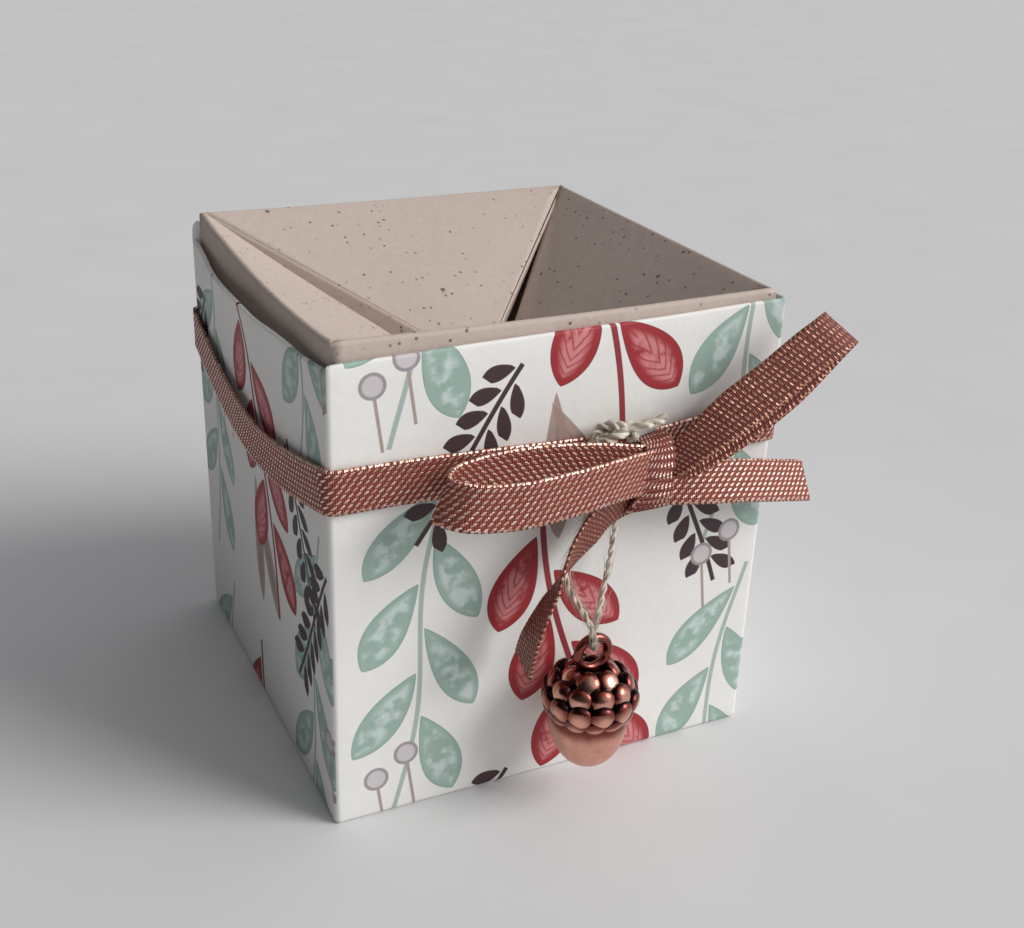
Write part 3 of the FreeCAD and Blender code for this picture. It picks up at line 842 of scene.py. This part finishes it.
band = [Vector((knot_x + 1.4, -band_half, knot_z + 1.15))]
for turn in range(4):
    angle = math.radians(90 * turn)
    heading = Vector((math.cos(angle), math.sin(angle), 0))
    outward = Vector((math.sin(angle), -math.cos(angle), 0))
    centre = (heading + outward) * (band_half - bend_round)
    # Two more points hold each long side straight up to its corners
    for back in (3.0, 0.6):
        band.append(hung(centre + outward * bend_round - heading * back
                         + Vector((0, 0, band_height))))
    for step in range(4):
        swing = math.radians(30 * step)
        offset = outward * math.cos(swing) + heading * math.sin(swing)
        band.append(centre + offset * bend_round + Vector((0, 0, band_height)))
    leaving = centre + heading * bend_round + Vector((0, 0, band_height))
    for ahead in (0.6, 3.0):
        band.append(hung(leaving - outward * ahead))
    if turn == 2:
        for step in range(2, 11):
            side_y = (band_half - bend_round) * (1 - step / 6)
            band.append(hung(Vector((-band_half, side_y, band_height))))
band.append(Vector((knot_x - 1.4, -band_half, knot_z + 1.15)))

shape = bmesh.new()
strap(shape, band, [Vector((0, 0, 1))] * len(band), 420)

loop_left = from_knot((-1, 2.8, 0.6), (-7.6, 2.7, 1.9), (-13.6, 2.2, 2.3), (-19.6, 2.2, 2.1),
                      (-22.8, 3, 1.9), (-24.2, 4.7, 1.9), (-23.0, 6.5, 1.8), (-18.4, 7.5, 1.4),
                      (-11.6, 7, 1.3), (-5, 5.4, 1.1), (-1, 3.6, 0.4))
left_across = [Vector(v) for v in (
    (0, 0, 1), (-0.1, 0, 1), (0, 0, 1), (0.15, 0, 1), (0.35, 0, 1), (0.5, 0.1, 1),
    (0.45, 0.15, 1), (0.2, 0.15, 1), (0.05, 0.1, 1), (0, 0, 1), (0, 0, 1))]
strap(shape, loop_left, left_across, 150)

loop_right = from_knot((1, 3.6, 0.4), (3.5, 4.8, 3.3), (6.8, 5.8, 6.5), (10.8, 6.4, 9.5),
                       (14.7, 6.6, 12.3), (17.7, 6.3, 13.8), (19, 5.4, 13.8), (18.1, 4.6, 12),
                       (13.7, 4.2, 7.6), (9.4, 3.8, 4.4), (5.7, 3.2, 1.5), (2.2, 2.6, -0.7))
right_across = [Vector(v) for v in (
    (-0.43, 0.64, 0.64), (-0.42, 0.64, 0.64), (-0.41, 0.64, 0.65), (-0.41, 0.64, 0.65),
    (-0.41, 0.64, 0.65), (-0.44, 0.65, 0.62), (-0.5, 0.67, 0.55), (-0.48, 0.66, 0.58),
    (-0.46, 0.66, 0.6), (-0.41, 0.64, 0.65), (-0.37, 0.63, 0.68), (-0.33, 0.62, 0.71))]
gathered = (0.58, 0.79, 1, 1, 1, 1, 1, 1, 1, 1, 0.85, 0.6)
# The right loop takes the darker finish, whose colours are painted shade
strap(shape, loop_right, right_across, 130, pinch=gathered, material=1)

tail_right = from_knot((1.3, 3, -1.5), (4.8, 4, -1.6), (9.6, 4.2, -2.2), (14.6, 3.6, -3.3),
                       (19.5, 2.6, -4.6))
strap(shape, tail_right, [Vector(v) for v in ((0.15, 0.41, 0.9), (0.12, 0.45, 0.88),
                                              (0.08, 0.5, 0.86), (0.03, 0.56, 0.83),
                                              (0, 0.6, 0.8))], 60)

tail_down = from_knot((-2.4, 3.0, -2.1), (-4.4, 3.3, -2.8), (-6.2, 3.6, -3.7),
                      (-7.7, 3.9, -5.0), (-9.3, 4.3, -6.5), (-11.1, 4.9, -8.8),
                      (-11.9, 5.1, -10.1), (-12.9, 5.2, -11.6), (-13.6, 5.2, -13.1),
                      (-14.2, 5.0, -14.8), (-14.6, 4.7, -16.6), (-14.8, 4.3, -18.7))
down_across = [Vector(v) for v in (
    (0.27, 0.2, -0.94), (0.32, 0.35, -0.88), (0.47, 0.39, -0.79), (0.56, 0.39, -0.73),
    (0.54, 0.54, -0.64), (0.43, 0.76, -0.49), (0.35, 0.88, -0.32), (0.31, 0.93, -0.2),
    (0.29, 0.96, -0.06), (0.25, 0.97, 0.07), (0.17, 0.97, 0.15), (0.12, 0.98, 0.17))]
# The hanging tail takes the darker finish too, whose colours are painted shade
strap(shape, tail_down, down_across, 110, material=1)
straps = finished("ribbon_straps", shape, woven.material, woven_painted_shade.material,
                  thick=woven_thick, offset=0.0)
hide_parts("ribbon")
print("strap faces", len(straps.data.polygons))

# %% [markdown]
# ## Knot
# The knot is a short stretch of ribbon that goes once round the crossing. It is
# a band bent to an oval, a little narrower at its top.

# %% Knot
knot_wide, knot_tall, knot_deep = 4.0, 7.6, 4.2
knot_drop = 0.4
knot_ribs, rib_high = 24, 0.12


def knot_place(u, v):
    angle = 2 * math.pi * v
    half_tall, half_deep = knot_tall / 2 - 0.2, knot_deep / 2 - 0.2
    c, s = math.cos(angle), math.sin(angle)
    # Narrower at the top, with a crowned face and small cross ribs
    wide = knot_wide * (0.96 - 0.23 * s)
    crown = 0.45 * (1 - (2 * u - 1) ** 2)
    rib = rib_high * math.cos(2 * math.pi * v * knot_ribs)
    x = 1.45 - (1 - u) * wide
    y = -(half_deep + crown * 0.5 + rib) * math.copysign(abs(c) ** 0.62, c)
    z = (half_tall + rib) * math.copysign(abs(s) ** 0.85, s)
    slant = (u - 0.5) * 0.7 * max(0.0, s)
    return knot_x + x, wall_front - knot_deep / 2 + y, knot_z - knot_drop + z + slant


weave_wide, weave_long = 3.9, 21.6
shape = bmesh.new()
faces = bent_sheet(shape, 12, 72, 1.0, 1.0, knot_place)
layer = shape.loops.layers.uv["sheet"]
for face in faces:
    for loop in face.loops:
        u, v = loop[layer].uv
        loop[layer].uv = (u * weave_wide, v * weave_long + 0.2)
bmesh.ops.remove_doubles(shape, verts=shape.verts, dist=0.01 * MM)
knot = finished("ribbon_knot", shape, woven_knot.material, thick=woven_thick, offset=0.0)
print("knot faces", len(knot.data.polygons))

# %% [markdown]
# ## Twine
# The twine is a thin natural cord. It leaves the back of the bow's knot, makes a
# small loop on the left, passes through the acorn's ring and comes back to the
# knot. Its line is one smooth curve whose control points are the model's route.

# %% Twine
ring_top = Vector((1.1, -30.9, 20.28))
wrap = 1.05


def round_ring(degrees, side):
    angle = math.radians(degrees)
    reach = wrap / math.cos(math.radians(22.5))
    return ring_top + Vector((side, reach * math.cos(angle), reach * math.sin(angle)))


route = from_knot((1, 1.8, 5.1), (-2.6, 1.6, 5.1), (-6, 1.3, 4.4), (-7.4, 1.25, 1.1),
                  (-6.6, 1.4, -1.9), (-6.7, 1.5, -5.2), (-8.6, 1.8, -8.3), (-9.8, 2.6, -11))
route += [round_ring(157.5, -0.9) + Vector((-0.2, -0.1, 2.2)), round_ring(202.5, -0.45),
          round_ring(247.5, -0.15), round_ring(292.5, 0.15), round_ring(337.5, 0.45),
          round_ring(22.5, 0.9) + Vector((0.2, 0.1, 2.2))]
route += from_knot((-4.8, 2.8, -11.2), (-3.8, 1.9, -8), (-3.3, 1.5, -4.6), (-3.5, 1.35, -1),
                   (-4.3, 1.3, 2.6))
twine_curve = bpy.data.curves.new("twine", "CURVE")
twine_curve.dimensions = "3D"
spline = twine_curve.splines.new("NURBS")
spline.points.add(len(route) - 1)
for point, place in zip(spline.points, route):
    point.co = (*(place * MM), 1.0)
spline.order_u = 3
spline.use_endpoint_u = True
twine_curve.resolution_u = 12
line = linked("twine_line", twine_curve)
bpy.context.view_layer.update()
seen_line = bpy.data.meshes.new_from_object(line.evaluated_get(
    bpy.context.evaluated_depsgraph_get()))
twine_path = [vertex.co.copy() / MM for vertex in seen_line.vertices]
bpy.data.objects.remove(line)
print("twine points", len(twine_path))

# %% [markdown]
# ## Strands of the twine
# Real twine is two strands laid round each other, with loose fibres that stand
# out. Each strand is a thin grid rolled to a tube, whose middle circles the
# twine's own line. Fine hairs leave it and curl a little further out.


# %% Strands and hairs
def framed(points, steps):
    """Even places on a line, each with two directions square to it."""
    even, length = smooth_path(points, steps)
    frames = []
    across = Vector((0, -1, 0))
    for number, spot in enumerate(even):
        ahead = (even[min(steps, number + 1)] - even[max(0, number - 1)]).normalized()
        across = (across - ahead * across.dot(ahead)).normalized()
        frames.append((spot, across.copy(), ahead.cross(across)))
    return frames, length


def rolled(shape, frames, offset, thickness, sides):
    """A tube whose middle is moved off the line by offset(row)."""
    rows = len(frames) - 1
    middles = []
    for row, (spot, first, second) in enumerate(frames):
        a, b = offset(row)
        middles.append(spot + first * a + second * b)

    def place(u, v):
        row = min(rows, max(0, round(v * rows)))
        spot, first, second = frames[row]
        angle = 2 * math.pi * u
        taper = thickness(row)
        return middles[row] + (first * math.cos(angle) + second * math.sin(angle)) * taper

    bent_sheet(shape, sides, rows, 1.0, 1.0, place)


def twist(shape, points, steps, pitch, lay, thick):
    """Two strands laid round a line: pitch is the length of one turn."""
    frames, length = framed(points, steps)
    for ply in range(2):
        def offset(row, ply=ply):
            turn = 2 * math.pi * (row / steps * length / pitch + ply / 2)
            return lay * math.cos(turn), lay * math.sin(turn)
        rolled(shape, frames, offset, lambda row: thick, 10)
    return frames, length


HAIR_START, HAIR_THICK = 0.36, 0.035


def hairs(shape, frames, count, reach, seed):
    """Loose fibres that leave the twine and curl beside it."""
    for number in range(count):
        pick = [0.5 + 0.5 * noise.noise(Vector((number * 3.7 + seed, k * 9.1, 0.5)))
                for k in range(5)]
        last = len(frames) - 1
        start = int(pick[0] * 0.96 * last)
        end = min(last, start + 14 + int(20 * pick[1]))
        turn = 40 * pick[2] + number
        rows = frames[start:end + 1]
        if len(rows) < 4:
            continue
        size = len(rows) - 1

        def offset(row, turn=turn, far=reach * (0.5 + pick[3]), size=size):
            out = HAIR_START + far * (row / size) ** 2
            angle = turn + row * 0.05
            return out * math.cos(angle), out * math.sin(angle)
        rolled(shape, rows, offset,
               lambda row, size=size: HAIR_THICK * (1.05 - row / size), 4)


hemp = Finish("hemp_twine", Roughness=0.8, Specular_IOR_Level=0.25)
grain = hemp.place().noise(900.0, 3.0)
hemp.feed(Base_Color=grain.ramp(0.25, 0.75).between(colour(0.40, 0.33, 0.25),
                                                    colour(0.82, 0.77, 0.68)))
hemp.bump(grain, 0.0001, 0.5)
shape = bmesh.new()
twine_frames, twine_length = twist(shape, twine_path, 330, 2.6, 0.16, 0.18)
hairs(shape, twine_frames, 130, 0.7, 1.0)
bmesh.ops.remove_doubles(shape, verts=shape.verts, dist=0.002 * MM)
twine = finished("twine_strands", shape, hemp.material)
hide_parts("twine")
print("twine length", round(twine_length, 1), "faces", len(twine.data.polygons))

# %% [markdown]
# ## The twine's own knot
# Beside the bow the twine is knotted round the ribbon. It shows as a fat lump
# of turns with a short frayed end that points to the upper right.

# %% Twine knot
shape = bmesh.new()
lump = []
for step in range(13):
    angle = 2 * math.pi * step / 12 * 1.5
    lump.append(Vector((knot_x - 4.4 + 1.9 * math.cos(angle * 2 / 3 + 0.5),
                        wall_front - 1.7 - 0.75 * math.sin(angle),
                        knot_z + 4.4 + 0.75 * math.cos(angle))))
lump_frames, _ = twist(shape, lump, 120, 2.0, 0.27, 0.30)
end_line = from_knot((-5.6, 2.2, 3.9), (-3.8, 2.5, 4.7), (-1.8, 2.5, 5.1), (0.0, 2.3, 5.2),
                     (1.1, 2.1, 5.3))
end_frames, _ = twist(shape, end_line, 90, 3.0, 0.24, 0.27)
tail_line = from_knot((-9.2, 1.0, 2.6), (-7.6, 1.5, 3.2), (-5.8, 1.9, 3.8), (-4.2, 1.9, 4.2))
tail_frames, _ = twist(shape, tail_line, 60, 2.8, 0.22, 0.25)
for number, frames in enumerate((lump_frames, end_frames, tail_frames)):
    hairs(shape, frames, 44, 0.8, 5.0 + number)
bmesh.ops.remove_doubles(shape, verts=shape.verts, dist=0.002 * MM)
twine_knot = finished("twine_knot", shape, hemp.material)
print("twine knot faces", len(twine_knot.data.polygons))

# %% [markdown]
# ## Acorn
# The acorn is cast in metal and finished in a dark copper colour, rubbed bright
# on what stands out. The nut and the cap are turned shapes, so their outlines
# are spun round the axis, and the cap carries rows of overlapping scales.

# %% Copper finish
acorn_place = Vector((1.1, -30.9, 4.3))
nut_wide, nut_long = 4.15, 5.7
cap_wide, cap_high, cap_middle = 4.35, 3.2, 9.0
ring_reach, ring_thick = 1.75, 0.5
copper = Finish("aged_copper", Metallic=1.0)
wear, nut_part, _ = copper.strip("wear").parts()
rub = copper.place().noise(900.0, 3.0)
shown = wear + (rub - 0.5) * 0.25
deep = shown.ramp(0.05, 0.55).between(colour(0.014, 0.006, 0.009), colour(0.24, 0.065, 0.05))
metal = shown.ramp(0.5, 1.1).between(deep, colour(0.88, 0.47, 0.36))
copper.feed(Base_Color=metal, Roughness=nut_part * 0.16 + rub * 0.10 + 0.15)
copper.bump(rub, 0.00008, 0.5)
print("copper nodes", len(copper.tree.nodes))


# %% Acorn
def spun(shape, outline, steps):
    """Spins an outline of (radius, height) points round the acorn's axis."""
    points = [shape.verts.new(Vector((radius, 0, height)) * MM) for radius, height in outline]
    edges = [shape.edges.new(pair) for pair in zip(points, points[1:])]
    bmesh.ops.spin(shape, geom=points + edges, cent=(0, 0, 0), axis=(0, 0, 1),
                   dvec=(0, 0, 0), angle=2 * math.pi, steps=steps, use_merge=True,
                   use_duplicate=False)
    bmesh.ops.remove_doubles(shape, verts=shape.verts, dist=0.002 * MM)
    bmesh.ops.recalc_face_normals(shape, faces=shape.faces)


def worn(shape, faces, measure):
    """Keeps how worn each point is, and whether it is the nut, as a UV map."""
    layer = shape.loops.layers.uv.get("wear") or shape.loops.layers.uv.new("wear")
    for face in faces:
        face.smooth = True
        for loop in face.loops:
            loop[layer].uv = measure(loop.vert.co / MM)


shape = bmesh.new()
nut = [(nut_wide * math.sin(math.radians(t)) ** 0.86,
        6.4 - nut_long * math.cos(math.radians(t)))
       for t in range(0, 91, 6)] + [(4.2, 7.2), (4.0, 8.0), (3.0, 8.6), (0.0, 8.8)]
spun(shape, nut, 64)
worn(shape, shape.faces, lambda place: (0.92 - 0.5 * max(0.0, place.z - 5.6) / 1.4, 1.0))
cap = bmesh.new()
dome = [(0.0, 7.0), (3.4, 7.0), (4.3, 7.4)] + [
    (cap_wide * math.cos(math.radians(t)), cap_middle + cap_high * math.sin(math.radians(t)))
    for t in range(-20, 90, 10)] + [(0.0, cap_middle + cap_high)]
spun(cap, dome, 64)
worn(cap, cap.faces, lambda place: (0.05, 0.0))

# Rows of overlapping scales, each a flattened ball whose lower edge leans out:
# its lift in degrees, how many, their size and their reach
SCALE_ROWS = ((-24, 13, 1.30, 4.25), (2, 12, 1.42, 4.35), (29, 10, 1.42, 4.3),
              (56, 6, 1.42, 4.1))


def scale_wear(place):
    """A scale is worn most where its ball stands out."""
    return max(0.0, place.x * 0.86 + 0.1 - place.z * 0.16), 0.0


for row, (lift, count, scale_size, reach) in enumerate(SCALE_ROWS):
    for number in range(count):
        angle = 2 * math.pi * (number + 0.5 * (row % 2) + 0.12 * row) / count
        vary = noise.noise(Vector((number * 1.7, row * 3.1, 0.4)))
        ball = bmesh.ops.create_icosphere(cap, subdivisions=3, radius=1.0 * MM)["verts"]
        worn(cap, {face for vertex in ball for face in vertex.link_faces}, scale_wear)
        bmesh.ops.scale(cap, verts=ball, vec=(0.85, scale_size, 1.45))
        bmesh.ops.rotate(cap, verts=ball, cent=(0, 0, 0),
                         matrix=Matrix.Rotation(math.radians(-lift + 16 + 8 * vary), 3, "Y"))
        up = math.radians(lift + 3 * vary)
        bmesh.ops.translate(cap, verts=ball, vec=Vector(
            (reach * math.cos(up), 0, cap_middle + 3.0 * math.sin(up))) * MM)
        bmesh.ops.rotate(cap, verts=ball, cent=(0, 0, 0),
                         matrix=Matrix.Rotation(angle, 3, "Z"))

# The ring stands upright on the cap
ring_z = cap_middle + 3.3 + ring_reach + 0.18
torus = bmesh.new()
spun(torus, [(ring_reach + ring_thick * math.cos(math.radians(t)),
              ring_thick * math.sin(math.radians(t)))
             for t in [22.5 * k for k in range(17)]], 48)
bmesh.ops.rotate(torus, verts=torus.verts, cent=(0, 0, 0),
                 matrix=Matrix.Rotation(math.pi / 2, 3, "X"))
bmesh.ops.translate(torus, verts=torus.verts, vec=Vector((0, 0, ring_z)) * MM)
worn(torus, torus.faces, lambda place: (0.55, 0.0))
for part in (cap, torus):
    part_mesh = bpy.data.meshes.new("part")
    part.to_mesh(part_mesh)
    part.free()
    shape.from_mesh(part_mesh)
    bpy.data.meshes.remove(part_mesh)
bmesh.ops.translate(shape, verts=shape.verts, vec=acorn_place * MM)
acorn = finished("acorn", shape, copper.material)
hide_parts("acorn_charm")
print("acorn faces", len(acorn.data.polygons))
